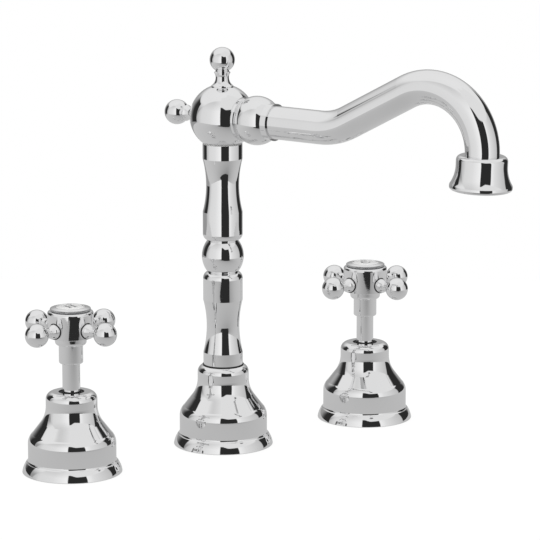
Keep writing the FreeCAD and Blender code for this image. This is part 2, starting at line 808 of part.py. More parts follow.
def spigot_rings():
    """Two rubber rings in the spigot's grooves."""
    outer = size.swivel_spigot_radius + size.running_clearance / 2
    rings = document.addObject("Part::Compound", "spigot_rings")
    links = []
    for name, rise in (("lower", size.lower_ring_rise), ("upper", size.upper_ring_rise)):
        torus = document.addObject("Part::Torus", f"spigot_ring_{name}")
        torus.setExpression("Radius1", (outer - size.ring_section_radius).text)
        torus.setExpression("Radius2", size.ring_section_radius.text)
        place(torus, z=rise - swivel_end)
        links.append(torus)
    rings.Links = links
    return rings


def finial(name, lying):
    """Turned finial: stud, flared foot, neck, sharp bead and ball."""
    seat = size.head_finial_flat
    foot_rim = seat + size.finial_foot_height
    neck = foot_rim + size.finial_flare_rise
    cup = neck + size.finial_cup_rise
    bead = cup + size.finial_bead_rise
    groove = bead + size.finial_groove_rise
    ball_middle = groove + ball_section(size.finial_ball_radius, size.finial_groove_radius)
    ball_top = ball_middle + size.finial_ball_radius
    return turned(name, [
        (0, seat - size.finial_stud_length),
        (size.finial_stud_radius, seat - size.finial_stud_length),
        (size.finial_stud_radius, seat),
        (size.finial_foot_radius, seat),
        (size.finial_foot_radius, foot_rim),
        (size.finial_neck_radius, neck, LAST),
        (size.finial_cup_radius, cup, FIRST),
        (size.finial_bead_radius, bead),
        (size.finial_groove_radius, groove),
        (0, ball_top, AXIS),
    ], lying)


def spout_collar():
    """Ball-shaped collar, screwed into the head, with a ring behind it and the tube's socket in front."""
    seat = size.head_collar_flat
    ring_front = seat + size.collar_ring_width
    ball_middle = ring_front + ball_section(size.collar_ball_radius, size.collar_ball_start_radius)
    lip_foot = ball_middle + ball_section(size.collar_ball_radius, size.collar_lip_radius)
    lip_end = lip_foot + size.collar_lip_width
    socket = size.tube_radius + size.fit_clearance
    return turned("spout_collar", [
        (size.collar_bore_radius, seat - size.collar_spigot_length),
        (size.collar_spigot_radius, seat - size.collar_spigot_length),
        (size.collar_spigot_radius, seat),
        (size.collar_ring_radius, seat),
        (size.collar_ring_radius, ring_front),
        (size.collar_ball_start_radius, ring_front),
        (size.collar_lip_radius, lip_foot, AXIS),
        (size.collar_lip_radius, lip_end),
        (socket, lip_end),
        (socket, tube_start),
        (size.collar_bore_radius, tube_start),
    ], lying=True)


def spout_tube():
    """Tube that leaves the collar level, rises, bends over and ends in the outlet cup."""
    body = document.addObject("PartDesign::Body", "spout_tube")
    route = new_sketch(body, "XZ_Plane", "spout_tube_route")
    rise, bend = size.tube_rise_radius, size.tube_bend_radius
    slope = math.radians(SIZES["tube_rise_angle"])
    lean = math.radians(SIZES["tube_lean"])
    forward = FreeCAD.Vector(math.cos(slope), math.sin(slope), 0)
    upward = FreeCAD.Vector(-math.sin(slope), math.cos(slope), 0)
    downward = FreeCAD.Vector(-math.sin(lean), -math.cos(lean), 0)
    normal = FreeCAD.Vector(0, 0, 1)
    start = FreeCAD.Vector(tube_start.value, 0, 0)
    run_end = start + FreeCAD.Vector(size.tube_run.value, 0, 0)
    rise_centre = run_end + FreeCAD.Vector(0, rise.value, 0)
    rise_end = rise_centre - upward * rise.value
    slope_end = rise_end + forward * size.tube_slope_length.value
    bend_centre = slope_end - upward * bend.value
    bend_end = bend_centre + FreeCAD.Vector(math.cos(lean), -math.sin(lean), 0) * bend.value
    tail_end = bend_end + downward * size.tube_tail.value
    run = route.addGeometry(Part.LineSegment(start, run_end), False)
    swing = route.addGeometry(Part.ArcOfCircle(Part.Circle(rise_centre, normal, rise.value),
                                               -math.pi / 2, -math.pi / 2 + slope), False)
    climb = route.addGeometry(Part.LineSegment(rise_end, slope_end), False)
    hook = route.addGeometry(Part.ArcOfCircle(Part.Circle(bend_centre, normal, bend.value),
                                              -lean, math.pi / 2 + slope), False)
    tail = route.addGeometry(Part.LineSegment(bend_end, tail_end), False)
    fix_point(route, run, 1, tube_start, as_size(0))
    route.addConstraint(Sketcher.Constraint("Horizontal", run))
    for meeting in ((run, 2, swing, 1), (swing, 2, climb, 1), (climb, 2, hook, 2), (hook, 1, tail, 1)):
        route.addConstraint(Sketcher.Constraint("Tangent", *meeting))
    bind(route, Sketcher.Constraint("Distance", run, size.tube_run.value), size.tube_run)
    bind(route, Sketcher.Constraint("Radius", swing, rise.value), rise)
    bind(route, Sketcher.Constraint("Distance", climb, size.tube_slope_length.value), size.tube_slope_length)
    bind(route, Sketcher.Constraint("Radius", hook, bend.value), bend)
    bind(route, Sketcher.Constraint("Distance", tail, size.tube_tail.value), size.tube_tail)
    bind(route, Sketcher.Constraint("Angle", climb, slope), size.tube_rise_angle)
    bind(route, Sketcher.Constraint("Angle", tail, -math.pi / 2 - lean), -90 - size.tube_lean)
    section = new_sketch(body, "YZ_Plane", "spout_tube_section", tube_start)
    for radius in (size.tube_radius, size.tube_bore_radius):
        circle = section.addGeometry(Part.Circle(FreeCAD.Vector(0, 0, 0), normal, radius.value), False)
        section.addConstraint(Sketcher.Constraint("Coincident", circle, 3, -1, 1))
        bind(section, Sketcher.Constraint("Radius", circle, radius.value), radius)
    pipe = body.newObject("PartDesign::AdditivePipe", "spout_tube_pipe")
    pipe.Profile = section
    pipe.Spine = (route, [f"Edge{edge}" for edge in range(1, 6)])
    return body


def outlet_cup():
    """Flared cup on the tube's end, hollow for the aerator."""
    flare = size.cup_radius + size.cup_flare
    lip = size.cup_radius + size.cup_lip_overhang
    thread = size.aerator_radius + size.fit_clearance
    shoulder = size.aerator_recess + size.aerator_height + size.aerator_seal_thickness
    socket_floor = cup_height - size.tube_tail
    return turned("outlet_cup", [
        (thread, 0),
        (lip - size.cup_foot_inset, 0),
        (lip, size.cup_foot_rise, LAST),
        (flare, size.cup_foot_rise + size.cup_lip_rise, FIRST),
        (size.cup_radius, cup_side_foot, LAST),
        (size.cup_radius, cup_crown_foot),
        (size.cup_radius - size.cup_crown_inset, cup_height, FIRST),
        (size.tube_radius + size.fit_clearance, cup_height),
        (size.tube_radius + size.fit_clearance, socket_floor),
        (size.cup_bore_radius, socket_floor),
        (size.cup_bore_radius, shoulder),
        (thread, shoulder),
    ])


def aerator():
    """Threaded insert with a pierced plate, and the seal above it."""
    foot = size.aerator_recess
    top = foot + size.aerator_height
    inner = size.aerator_radius - size.aerator_wall
    body = turned("aerator", [
        (0, foot),
        (size.aerator_radius, foot),
        (size.aerator_radius, top),
        (inner, top),
        (inner, foot + size.aerator_plate),
        (0, foot + size.aerator_plate),
    ])
    document.recompute()
    for label, ring_radius, count in (
        ("outer", size.aerator_outer_ring, size.aerator_outer_count),
        ("inner", size.aerator_inner_ring, size.aerator_inner_count),
    ):
        hole = pocket_circles(body, f"aerator_{label}_hole", "XY_Plane", foot, size.aerator_plate,
                              size.aerator_hole_radius, [(ring_radius, 0)])
        polar_pattern(body, hole, f"aerator_{label}_holes", count)
    seal_outer = size.aerator_radius - size.fit_clearance
    seal = ring("aerator_seal", seal_outer - size.aerator_seal_width, seal_outer, top,
                top + size.aerator_seal_thickness)
    return body, seal


def swivel_pieces():
    """Everything that turns with the spout."""
    keep(head_ball(), z=head_height, turn=spout_turn)
    keep(spigot_rings(), z=head_height)
    keep(finial("top_finial", lying=False), z=head_height)
    keep(finial("rear_finial", lying=True), z=head_height, turn=spout_turn + 180)
    keep(spout_collar(), z=head_height, turn=spout_turn)
    keep(spout_tube(), z=head_height, turn=spout_turn)
    slope, lean = size.tube_rise_angle, size.tube_lean
    both_radii = size.tube_rise_radius + size.tube_bend_radius
    bend_reach = size.tube_bend_radius * cosine(lean) - cup_height * sine(lean)
    bend_drop = size.tube_bend_radius * sine(lean) + cup_height * cosine(lean)
    climb_reach = both_radii * sine(slope) + size.tube_slope_length * cosine(slope)
    climb_rise = size.tube_rise_radius - both_radii * cosine(slope) + size.tube_slope_length * sine(slope)
    reach = tube_start + size.tube_run + climb_reach + bend_reach
    height = head_height + climb_rise - bend_drop
    for item in (outlet_cup(), *aerator()):
        keep(item, reach * cosine(spout_turn), reach * sine(spout_turn), height, spout_turn, lean)


# Valves

def valve_body(side):
    """Valve body: inlet tail, flanged block with a side outlet, and a threaded neck through the deck."""
    flange_foot = washer_foot - size.valve_flange_height
    block_foot = flange_foot - size.valve_body_length
    tail_foot = block_foot - size.inlet_length
    neck, chamber = size.valve_neck_radius, size.valve_chamber_radius
    blank = turned(f"{side}_valve_body_blank", [
        (size.standpipe_bore_radius, tail_foot),
        (size.inlet_radius, tail_foot),
        (size.inlet_radius, block_foot),
        (size.valve_body_radius, block_foot),
        (size.valve_body_radius, flange_foot),
        (size.valve_flange_radius, flange_foot),
        (size.valve_flange_radius, washer_foot),
        (neck, washer_foot),
        (neck, size.valve_neck_height),
        (chamber, size.valve_neck_height),
        (chamber, -size.valve_chamber_drop),
        (size.standpipe_radius, -size.valve_chamber_drop),
        (size.standpipe_radius, size.standpipe_height),
        (size.standpipe_bore_radius, size.standpipe_height),
    ])
    axis = -size.outlet_port_drop
    root = chamber + size.fit_clearance
    boss_reach = size.outlet_boss_reach
    boss = cylinder(f"{side}_outlet_boss", size.outlet_boss_radius, boss_reach - root,
                    x=root, z=axis, tilt=90)
    port = cylinder(f"{side}_outlet_port", size.outlet_port_radius, size.outlet_thread_length,
                    x=boss_reach, z=axis, tilt=90)
    bossed = joined("Part::Fuse", f"{side}_valve_bossed", blank, boss)
    ported = joined("Part::Fuse", f"{side}_valve_ported", bossed, port)
    bore_length = boss_reach + size.outlet_thread_length
    bore = cylinder(f"{side}_outlet_bore", size.outlet_port_bore_radius, bore_length,
                    x=(size.standpipe_radius + chamber) / 2, z=axis, tilt=90)
    return joined("Part::Cut", f"{side}_valve_body", ported, bore)


def bonnet(side):
    """Brass bonnet: disc cavity and windows below, a flange, and the barrel that carries the bell."""
    thread = size.valve_chamber_radius - size.bonnet_thread_clearance
    thread_foot = size.valve_neck_height - size.bonnet_thread_height
    flange_top = size.valve_neck_height + size.bonnet_flange_height
    barrel = bell_inner_neck - size.fit_clearance
    spindle_hole = size.spindle_radius + size.running_clearance
    blank = turned(f"{side}_bonnet_blank", [
        (size.bonnet_cavity_radius, size.standpipe_height),
        (size.bonnet_skirt_radius, size.standpipe_height),
        (size.bonnet_skirt_radius, thread_foot),
        (thread, thread_foot),
        (thread, size.valve_neck_height),
        (size.bonnet_flange_radius, size.valve_neck_height),
        (size.bonnet_flange_radius, flange_top),
        (barrel, flange_top),
        (barrel, bonnet_top),
        (spindle_hole, bonnet_top),
        (spindle_hole, cavity_top),
        (size.bonnet_cavity_radius, cavity_top),
    ])
    window_height = moving_disc_top + size.bonnet_window_radius
    windows = cylinder(f"{side}_bonnet_windows", size.bonnet_window_radius, 2 * size.bonnet_skirt_radius,
                       y=-size.bonnet_skirt_radius, z=window_height, turn=90, tilt=90)
    return joined("Part::Cut", f"{side}_bonnet", blank, windows)


def ceramic_disc(name, radius, foot):
    """Ceramic disc with two water ports."""
    body = ring(name, 0, radius, foot, foot + size.disc_thickness)
    document.recompute()
    places = [(size.disc_port_offset, 0), (-size.disc_port_offset, 0)]
    body.Tip = pocket_circles(body, f"{name}_ports", "XY_Plane", foot, size.disc_thickness,
                              size.disc_port_radius, places)
    return body


def valve_pieces(side, x, port_turn):
    """The fixed pieces of one valve."""
    thread = size.valve_neck_radius + size.fit_clearance
    washer_outer = size.valve_neck_radius + size.valve_washer_overhang
    nut_foot = size.metal_washer_thickness
    nut_size = (size.locknut_flats, size.locknut_height, size.valve_neck_radius)
    seal_outer = size.standpipe_radius + size.lip_seal_overhang
    disc_radius = size.bonnet_cavity_radius - size.fit_clearance
    keep(valve_body(side), x, turn=port_turn)
    for item in (
        bell(f"{side}_bell", size.valve_bell_hole_radius),
        base_seal(f"{side}_base_seal"),
        ring(f"{side}_rubber_washer", thread, washer_outer, washer_foot, under_deck),
        ring(f"{side}_metal_washer", thread, washer_outer, 0, nut_foot),
        hexagon_nut(f"{side}_locknut", *nut_size, nut_foot),
        bonnet(side),
        ring(f"{side}_lip_seal", size.standpipe_bore_radius, seal_outer, size.standpipe_height, seal_top),
        ceramic_disc(f"{side}_fixed_disc", disc_radius, seal_top),
    ):
        keep(item, x)


def spindle(side):
    """Spindle that drives the moving disc, with a groove for its rubber ring and a tapped end."""
    groove = bonnet_top - size.spindle_ring_drop
    groove_radius = size.spindle_radius - size.spindle_groove_depth
    half_groove = size.spindle_groove_height / 2
    tapped = size.screw_radius + size.fit_clearance
    tapped_foot = spindle_top - size.screw_engagement - size.screw_hole_spare
    return turned(f"{side}_spindle", [
        (0, moving_disc_top),
        (size.spindle_driver_radius, moving_disc_top),
        (size.spindle_driver_radius, driver_top),
        (size.spindle_radius, driver_top),
        (size.spindle_radius, groove - half_groove),
        (groove_radius, groove - half_groove),
        (groove_radius, groove + half_groove),
        (size.spindle_radius, groove + half_groove),
        (size.spindle_radius, spindle_shoulder),
        (size.spindle_end_radius, spindle_shoulder),
        (size.spindle_end_radius, spindle_top),
        (tapped, spindle_top),
        (tapped, tapped_foot),
        (0, tapped_foot),
    ])


def spindle_ring(side):
    """Rubber ring in the spindle's groove."""
    outer = size.spindle_radius + size.running_clearance / 2
    torus = document.addObject("Part::Torus", f"{side}_spindle_ring")
    torus.setExpression("Radius1", (outer - size.spindle_ring_section).text)
    torus.setExpression("Radius2", size.spindle_ring_section.text)
    return torus


def sleeve(side):
    """Handle's sleeve over the stem, with a rounded collar under the hub."""
    socket = size.stem_radius + size.fit_clearance
    round_top = sleeve_top + size.sleeve_round_rise
    collar = size.sleeve_collar_radius
    return turned(f"{side}_handle_sleeve", [
        (socket, sleeve_foot),
        (size.sleeve_radius - size.sleeve_edge, sleeve_foot),
        (size.sleeve_radius, sleeve_foot + size.sleeve_edge, LAST),
        (size.sleeve_radius, sleeve_top),
        (collar - size.sleeve_round_inset, sleeve_top),
        (collar, round_top, LAST),
        (collar, hub_foot),
        (size.screw_passage_radius, hub_foot),
        (size.screw_passage_radius, stem_top),
        (socket, stem_top),
    ])


def hub(side):
    """Hub with seats for the arms, the screw's head and the index bezel."""
    recess = size.bezel_spigot_radius + size.fit_clearance
    body = turned(f"{side}_hub", [
        (size.screw_passage_radius, hub_foot),
        (size.hub_radius - size.hub_edge, hub_foot),
        (size.hub_radius, hub_foot + size.hub_edge, LAST),
        (size.hub_radius, hub_top - size.hub_round),
        (size.hub_radius - size.hub_round, hub_top, FIRST),
        (recess, hub_top),
        (recess, bezel_recess),
        (size.hub_counterbore_radius, bezel_recess),
        (size.hub_counterbore_radius, screw_seat),
        (size.screw_passage_radius, screw_seat),
    ])
    document.recompute()
    arm_seat = pocket_circles(body, f"{side}_arm_seat", "YZ_Plane", size.hub_radius - size.arm_root_depth,
                              size.hub_radius, size.arm_root_radius + size.fit_clearance,
                              [(0, hub_foot + size.arm_rise)])
    polar_pattern(body, arm_seat, f"{side}_arm_seats", size.arm_count)
    return body


def arms(side, rest_turn):
    """Four turned arms, each with a rounded root in the hub, a flare down to its waist and a ball end."""
    root = size.hub_radius - size.arm_root_depth
    dome_foot = size.hub_radius + size.arm_root_collar
    flare_foot = dome_foot + size.arm_dome_length
    ball_foot = size.arm_ball_offset - ball_section(size.arm_ball_radius, size.arm_waist_radius)
    group = document.addObject("Part::Compound", f"{side}_arms")
    links = []
    for number in range(SIZES["arm_count"]):
        arm = turned(f"{side}_arm_{number + 1}", [
            (0, root),
            (size.arm_root_radius, root),
            (size.arm_root_radius, dome_foot),
            (size.arm_dome_end_radius, flare_foot, FIRST),
            (size.arm_waist_radius, flare_foot + size.arm_flare_length, LAST),
            (size.arm_waist_radius, ball_foot),
            (0, size.arm_ball_offset + size.arm_ball_radius, AXIS),
        ], lying=True)
        place(arm, z=hub_foot + size.arm_rise, turn=rest_turn + as_size(360 * number) / size.arm_count)
        links.append(arm)
    group.Links = links
    return group


def handle_screw(side):
    """Slotted screw that holds the hub and sleeve to the spindle."""
    head_top = screw_seat + size.screw_head_height
    blank = turned(f"{side}_handle_screw_blank", [
        (0, spindle_top - size.screw_engagement),
        (size.screw_radius, spindle_top - size.screw_engagement),
        (size.screw_radius, screw_seat),
        (size.screw_head_radius, screw_seat),
        (size.screw_head_radius, head_top),
        (0, head_top),
    ])
    slot = document.addObject("Part::Box", f"{side}_handle_screw_slot")
    slot.setExpression("Length", (2 * size.screw_head_radius).text)
    slot.setExpression("Width", size.screw_slot_width.text)
    slot.setExpression("Height", size.screw_slot_depth.text)
    place(slot, -size.screw_head_radius, -size.screw_slot_width / 2, head_top - size.screw_slot_depth)
    return joined("Part::Cut", f"{side}_handle_screw", blank, slot)


def index_bezel(side):
    """Chrome ring that holds the index disc, with a shadow gap over the hub."""
    seat = size.index_radius + size.fit_clearance
    groove_radius = size.bezel_radius - size.bezel_groove_depth
    groove_top = hub_top + size.bezel_groove_height
    edge_top = hub_top + size.bezel_edge_height
    rim = seat + size.bezel_rim_width
    spigot_foot = hub_top - size.bezel_spigot_length
    return turned(f"{side}_index_bezel", [
        (size.bezel_bore_radius, spigot_foot),
        (size.bezel_spigot_radius, spigot_foot),
        (size.bezel_spigot_radius, hub_top),
        (groove_radius, hub_top),
        (groove_radius, groove_top),
        (size.bezel_radius, groove_top),
        (size.bezel_radius, edge_top),
        (rim, edge_top + size.bezel_bevel_rise),
        (seat, edge_top + size.bezel_bevel_rise),
        (seat, index_seat),
        (size.bezel_bore_radius, index_seat),
    ])


def index_disc(side):
    """Domed porcelain disc."""
    edge_top = index_seat + size.index_edge_height
    return turned(f"{side}_index_disc", [
        (0, index_seat),
        (size.index_radius, index_seat),
        (size.index_radius, edge_top),
        (0, edge_top + size.index_dome, AXIS),
    ])


def handle_pieces(side, x, rest_turn):
    """The pieces of one valve that turn with its handle."""
    moving_radius = size.bonnet_cavity_radius - size.fit_clearance - size.disc_relief
    stem_bore = size.spindle_end_radius + size.fit_clearance
    keep(spindle_ring(side), x, z=bonnet_top - size.spindle_ring_drop)
    keep(hub(side), x, turn=rest_turn)
    keep(arms(side, rest_turn), x)
    for item in (
        ceramic_disc(f"{side}_moving_disc", moving_radius, moving_disc_foot),
        spindle(side),
        ring(f"{side}_stem", stem_bore, size.stem_radius, spindle_shoulder, stem_top),
        sleeve(side),
        handle_screw(side),
        index_bezel(side),
        index_disc(side),
    ):
        keep(item, x)


# Assembly

spout_fixings()
column()
swivel_pieces()
for side, x, port_turn, rest_turn in (
    ("hot", -size.valve_offset, size.outlet_turn, size.hot_rest_turn),
    ("cold", size.valve_offset, 180 - size.outlet_turn, size.cold_rest_turn),
):
    valve_pieces(side, x, port_turn)
    handle_pieces(side, x, rest_turn)
document.recompute()

# Every object has to be sound before anything is written

for item in document.Objects:
    if {"Invalid", "Error"} & set(item.State):
        raise RuntimeError(f"{item.Label} failed: {item.State}")
for piece in pieces:
    if piece.Shape.isNull() or not piece.Shape.isValid() or not piece.Shape.Solids:
        raise RuntimeError(f"{piece.Label} has no sound shape")

os.makedirs("parts", exist_ok=True)
for piece in pieces:
    piece.Shape.exportStep(f"parts/{piece.Label}.step")
box = Part.makeCompound([piece.Shape for piece in pieces]).BoundBox
print(f"{len(pieces)} pieces, {box.XLength:.1f} x {box.YLength:.1f} x {box.ZLength:.1f} mm")
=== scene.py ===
"""A three-hole basin mixer tap in polished chrome, dressed for a studio picture."""
import json
import math

import bmesh
import bpy
from mathutils import Matrix, Vector


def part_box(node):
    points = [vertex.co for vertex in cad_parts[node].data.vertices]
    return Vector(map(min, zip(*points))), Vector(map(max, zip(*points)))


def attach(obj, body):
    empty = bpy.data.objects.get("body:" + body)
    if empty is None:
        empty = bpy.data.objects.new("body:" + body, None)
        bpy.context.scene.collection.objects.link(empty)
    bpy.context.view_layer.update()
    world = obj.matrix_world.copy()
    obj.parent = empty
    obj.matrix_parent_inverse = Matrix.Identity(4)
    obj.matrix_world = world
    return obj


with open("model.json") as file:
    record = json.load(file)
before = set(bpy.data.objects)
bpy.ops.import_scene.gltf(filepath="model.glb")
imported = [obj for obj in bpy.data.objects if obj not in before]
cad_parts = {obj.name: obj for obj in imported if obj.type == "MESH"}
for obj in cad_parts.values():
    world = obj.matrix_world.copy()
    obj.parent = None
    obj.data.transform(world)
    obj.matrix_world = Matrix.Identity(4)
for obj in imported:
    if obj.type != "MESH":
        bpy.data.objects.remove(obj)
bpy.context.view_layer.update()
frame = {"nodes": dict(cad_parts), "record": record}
nodes = frame["nodes"]
scene = bpy.context.scene
scene.view_settings.view_transform = "Standard"

MM = 0.001
SHARP = math.radians(40)
VALVE_OFFSET = 0.1

# The knurled edge of the index bezel, in millimetres. Each row of its lower half: radius over the
# bezel's edge, height over the foot, and share of the ridge.
KNURL_DROP = 1.55
KNURL_HEIGHT = 1.0
KNURL_DEPTH = 0.22
KNURL_COUNT = 84
KNURL_STEPS = 8
KNURL_HALF = ((-0.25, 0.05, 0), (-0.02, 0.05, 0), (0, 0.22, 1))

# The grey ring between the bezel and the hub, painted shade for the gap between them, in millimetres.
SHADE_RING_BORE = 9.6
SHADE_RING_EDGE = 10.25
SHADE_RING_BULGE = 10.4
SHADE_RING_PLAY = 0.02

# The dark rings round the arms' roots, painted shade where the arms meet the hub, in millimetres, and the
# degrees at which the handles rest.
ARM_COUNT = 4
ARM_RISE = 4.65
ARM_RING = 4.1
ARM_RING_SECTION = 0.28
ARM_RING_STEPS = 48
ARM_RING_SIDES = 8
REST_TURN = {"hot": 12.3, "cold": 5.9}

# The ring in a valve bell's crown, in millimetres: radius and height over the bonnet for its foot,
# radius and height over the crown for its top.
DUST_RING_FOOT = ((5.05, 0.5), (6.82, 0.1))
DUST_RING_TOP = ((6.82, -0.75), (6.1, -0.95), (5.0, -0.55), (4.88, -0.75))

# The dark ring at the column's foot, painted shade where the column meets its bell, in millimetres: radius
# over the foot's, height over the bell's crown.
COLUMN_SHADE_RING = ((-0.3, -0.02), (0.4, -0.02), (0.5, 0.15), (0.4, 0.4), (0.05, 0.5), (-0.3, 0.5))

VALVE_RING_STEPS = 96
COLUMN_RING_STEPS = 128

# The letters on the index discs' domes, in millimetres and degrees.
DISC_DOME = 0.5
LETTER_LIFT = 0.05
LETTER_SINK = -0.03
LETTER_FACE = 0.85
BAR_STEPS = 6
SERIF_WIDTH = 0.36
H_TOP = 2.75
H_STEM = 1.7
H_STEM_WIDTH = 0.9
H_BAR = 1.25
H_BAR_WIDTH = 0.45
H_SERIF = 1.0
C_START = 40
C_SWEEP = 280
C_STEPS = 32
C_MIDDLE = 0.2
C_HALF_WIDTH = 2.35
C_HALF_HEIGHT = 2.6
C_WIDTH = 0.42
C_SWELL = 0.6
C_SWELL_POWER = 1.5
C_SERIF = 0.75
C_SERIF_PLACE = (2.05, 1.7)

# The camera: where it stands round the tap, and how it is turned.
CAMERA_ROUND = 36.048
CAMERA_UP = 14.572
CAMERA_DISTANCE = 1.7259
CAMERA_YAW = 36.934
CAMERA_PITCH = 11.394
CAMERA_LENS = 207.18
CAMERA_SIGHT = 20
SENSOR = 36.0

# The lamp, in metres and watts.
LAMP_SIZE = 1.4
LAMP_POWER = 8
LAMP_HEIGHT = 1.5

# The studio, as directions from the tap: degrees to the right of the camera (turns), degrees up (tilts)
# and brightness (lights).
EDGE_SOFT = 1.2
BACK_TURNS = (140, 170)
BACK_LIGHTS = (0.32, 0.38)
CEILING_START = (8, 38)
CEILING_TILTS = (50, 80)
CEILING_LIGHTS = (0.83, 0.85)
LEFT_PANEL_TURNS = (-107, -80, -45, -8)
LEFT_PANEL_LIGHTS = (0.46, 0.75, 0.80, 0.97)
LEFT_PANEL_SOFT = 8
LEFT_PANEL_TILTS = (25, 52)
LEFT_PANEL_FADE = (1, 0.83)
LEFT_PANEL_FACES = -12
LEFT_PANEL_RISE = 2.0
LEFT_PANEL_TOP_SOFT = 0.09
RIGHT_PANEL = (37.5, 106)
RIGHT_PANEL_TURNS = (38, 56, 106)
RIGHT_PANEL_LIGHTS = (0.95, 0.78, 0.56)
RIGHT_PANEL_SOFT = 6
RIGHT_PANEL_TILTS = (26, 54)
OVERHEAD_TURNS = (-8, 103)
OVERHEAD_TILTS = (32, 77)
OVERHEAD_LIGHT = 0.80

# The black flags, as directions from the tap. The left one is a card, in metres.
FLAG_LIGHT = 0.026
FRONT_FLAG = (-8, 37.5)
FRONT_FLAG_TOP = 31
FRONT_FLAG_NOTCH = 9
FRONT_FLAG_NOTCH_TURNS = (-4, 16)
RIGHT_FLAG = (107, 147)
RIGHT_FLAG_BACK_SOFT = 7
RIGHT_FLAG_TOP = 32
RIGHT_FLAG_TOP_SOFT = 2
LEFT_FLAG = (-137, -103)
LEFT_FLAG_BACK_SOFT = 14
LEFT_FLAG_AWAY = 0.8
LEFT_FLAG_TOP = 0.63
LEFT_FLAG_TOP_SOFT = 0.03
LEFT_CARD_TURNS = range(-152, -99, 4)
LEFT_CARD_TOP = LEFT_FLAG_TOP * 1.1

# The floor, in metres: its outline, how pale it is, what the chrome shows of it, and the painted shade and
# painted dark patch in front that only the chrome shows.
FLOOR_DROP = 0.0002
FLOOR_FRONT = 0.465
FLOOR_SIDE = 0.69
FLOOR_STEPS = 96
FLOOR_MATT = 0.6
FLOOR_PALE = 0.87
FLOOR_SHADED = 0.16
FLOOR_LIGHT = 0.61
PAINTED_SHADE_DEPTH = 0.36
PAINTED_SHADE_REACH = 0.24
PAINTED_SHADE_MIDDLE = (-0.144, -0.373)
PAINTED_SHADE_HALF = 0.10
PAINTED_PATCH_SIDES = (-0.34, 0.015)
PAINTED_PATCH_EDGE = -0.367
PAINTED_PATCH_SLANT = -0.37
PAINTED_PATCH_SOFT = 0.006

# The part of its range that cloudy noise really covers.
NOISE_RANGE = (0.3, 0.7)

# A Mix node's sockets by number, because several share a name.
MIX_FACTOR = 0
MIX_NUMBERS = (2, 3)
MIX_NUMBER_OUT = 0
MIX_COLOURS = (6, 7)
MIX_COLOUR_OUT = 2


class Field:
    """A number that varies over a surface or over the sky, written as sums and products."""

    def __init__(self, tree, socket):
        self.tree = tree
        self.socket = socket

    def calc(self, operation, *others):
        """A math operation on the field, with other fields or numbers."""
        node = self.tree.nodes.new("ShaderNodeMath")
        node.operation = operation
        for place, value in zip(node.inputs, (self, *others)):
            if isinstance(value, Field):
                self.tree.links.new(value.socket, place)
            else:
                place.default_value = value
        return Field(self.tree, node.outputs[0])

    def __add__(self, other):
        return self.calc("ADD", other)

    def __sub__(self, other):
        return self.calc("SUBTRACT", other)

    def __mul__(self, other):
        return self.calc("MULTIPLY", other)

    def flipped(self):
        """One minus the field."""
        return self.calc("MULTIPLY_ADD", -1, 1)

    def span(self, low, high, to_low=0.0, to_high=1.0, kind="LINEAR"):
        """The field from low to high, read as to_low to to_high and held outside."""
        node = self.tree.nodes.new("ShaderNodeMapRange")
        node.interpolation_type = kind
        self.tree.links.new(self.socket, node.inputs["Value"])
        for name, value in zip(("From Min", "From Max", "To Min", "To Max"), (low, high, to_low, to_high)):
            node.inputs[name].default_value = value
        return Field(self.tree, node.outputs["Result"])

    def graded(self, places, values, soft):
        """The field read off a table of places and values, with soft joints."""
        result = self.span(*places[:2], *values[:2])
        for k in range(1, len(places) - 1):
            after = self.span(*places[k:k + 2], *values[k:k + 2])
            result = result.blend(after, self.step(places[k], soft))
        return result

    def step(self, edge, soft):
        """Zero below the edge and one above it, with a soft change."""
        return self.span(edge - soft, edge + soft, kind="SMOOTHSTEP")

    def band(self, low, high, soft):
        """One between low and high."""
        return self.step(low, soft) * self.step(high, soft).flipped()

    def blend(self, other, amount):
        """This field where the amount is zero, the other where it is one."""
        node = self.tree.nodes.new("ShaderNodeMix")
        node.data_type = "FLOAT"
        first, second = (node.inputs[k] for k in MIX_NUMBERS)
        self.tree.links.new(amount.socket, node.inputs[MIX_FACTOR])
        self.tree.links.new(self.socket, first)
        if isinstance(other, Field):
            self.tree.links.new(other.socket, second)
        else:
            second.default_value = other
        return Field(self.tree, node.outputs[MIX_NUMBER_OUT])


def dot(tree, socket, vector):
    """The part of a direction that lies along a fixed vector."""
    node = tree.nodes.new("ShaderNodeVectorMath")
    node.operation = "DOT_PRODUCT"
    tree.links.new(socket, node.inputs[0])
    node.inputs[1].default_value = vector
    return Field(tree, node.outputs["Value"])


def studio_direction(right_degrees):
    """A level direction, turned to the right of the one that points from the tap to the camera."""
    angle = math.radians(CAMERA_ROUND) - math.radians(right_degrees)
    return Vector((-math.sin(angle), -math.cos(angle), 0))


def turn_of(tree, socket):
    """Degrees to the right of the camera's place, for a direction or for a place."""
    ahead = dot(tree, socket, studio_direction(0))
    aside = dot(tree, socket, studio_direction(90))
    return aside.calc("ARCTAN2", ahead) * math.degrees(1)


